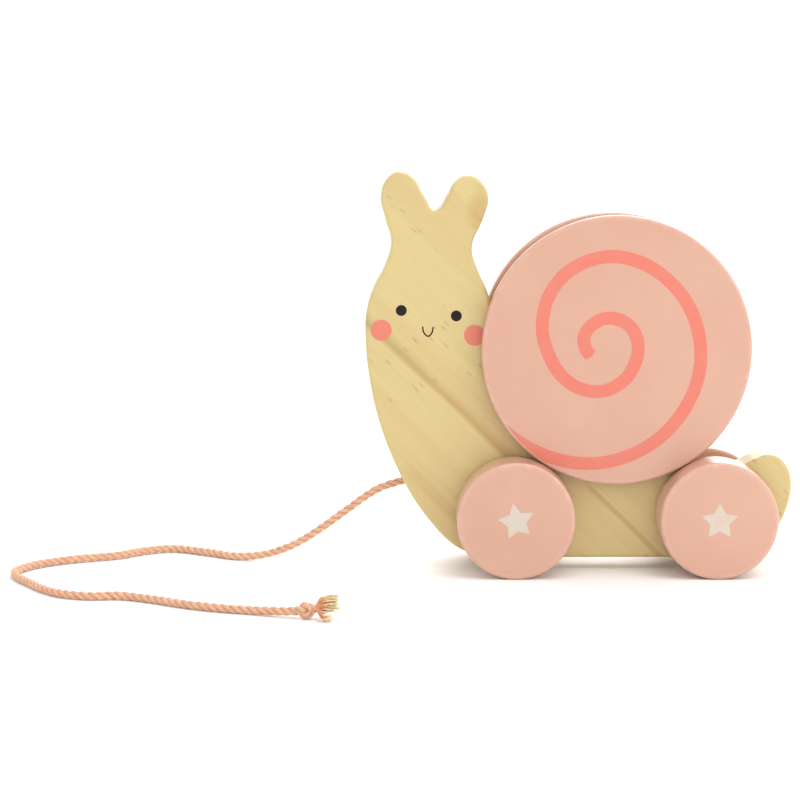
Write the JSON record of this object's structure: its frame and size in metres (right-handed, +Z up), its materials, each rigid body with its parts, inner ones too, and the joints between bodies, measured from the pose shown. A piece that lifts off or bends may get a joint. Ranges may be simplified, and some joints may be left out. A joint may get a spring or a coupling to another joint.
{
  "type": "pull along toy",
  "caption": "Wooden snail on wheels with a pull cord; a shell of paired discs is turned by the wheels as it rolls.",
  "frame": {"origin": "on the floor under the middle of the toy, measured without its pull cord", "axes": "+Z up; -X is the way the snail faces and is pulled; -Y is its left side, the one in view; the toy is symmetric about y = 0 apart from the cord"},
  "size_m": [0.3341, 0.1366, 0.1709],
  "materials": {
    "pine": "clear satin lacquer over planed pine",
    "peach_paint": "satin peach paint on turned wood",
    "beech": "bare dowel",
    "nylon": "natural moulded",
    "cotton_cord": "dyed twisted cotton"
  },
  "bodies": {
    "board": {"body_board": "pine", "cord": "cotton_cord", "end_knot": "cotton_cord", "frayed_end": "cotton_cord", "washer_front_left": "nylon", "washer_front_right": "nylon", "washer_rear_left": "nylon", "washer_rear_right": "nylon", "washer_shell_left": "nylon", "washer_shell_right": "nylon"},
    "shell": {"shell_disc_left": "peach_paint", "shell_disc_right": "peach_paint", "shell_axle": "beech"},
    "front_wheels": {"front_axle": "beech", "wheel_front_left": "peach_paint", "wheel_front_right": "peach_paint"},
    "rear_wheels": {"rear_axle": "beech", "wheel_rear_left": "peach_paint", "wheel_rear_right": "peach_paint"}
  },
  "joints": [
    {"name": "shell_spin", "type": "hinge", "parent": "board", "child": "shell", "pos_m": [0.015, 0, 0.09565], "axis": [0, 1, 0], "continuous": true},
    {"name": "front_axle_spin", "type": "hinge", "parent": "board", "child": "front_wheels", "pos_m": [-0.0278, 0, 0.025], "axis": [0, 1, 0], "continuous": true},
    {"name": "rear_axle_spin", "type": "hinge", "parent": "board", "child": "rear_wheels", "pos_m": [0.0578, 0, 0.025], "axis": [0, 1, 0], "continuous": true}
  ],
  "couplings": [
    {"joint": "front_axle_spin", "follows": "shell_spin", "ratio": -2.292},
    {"joint": "rear_axle_spin", "follows": "shell_spin", "ratio": -2.292}
  ]
}
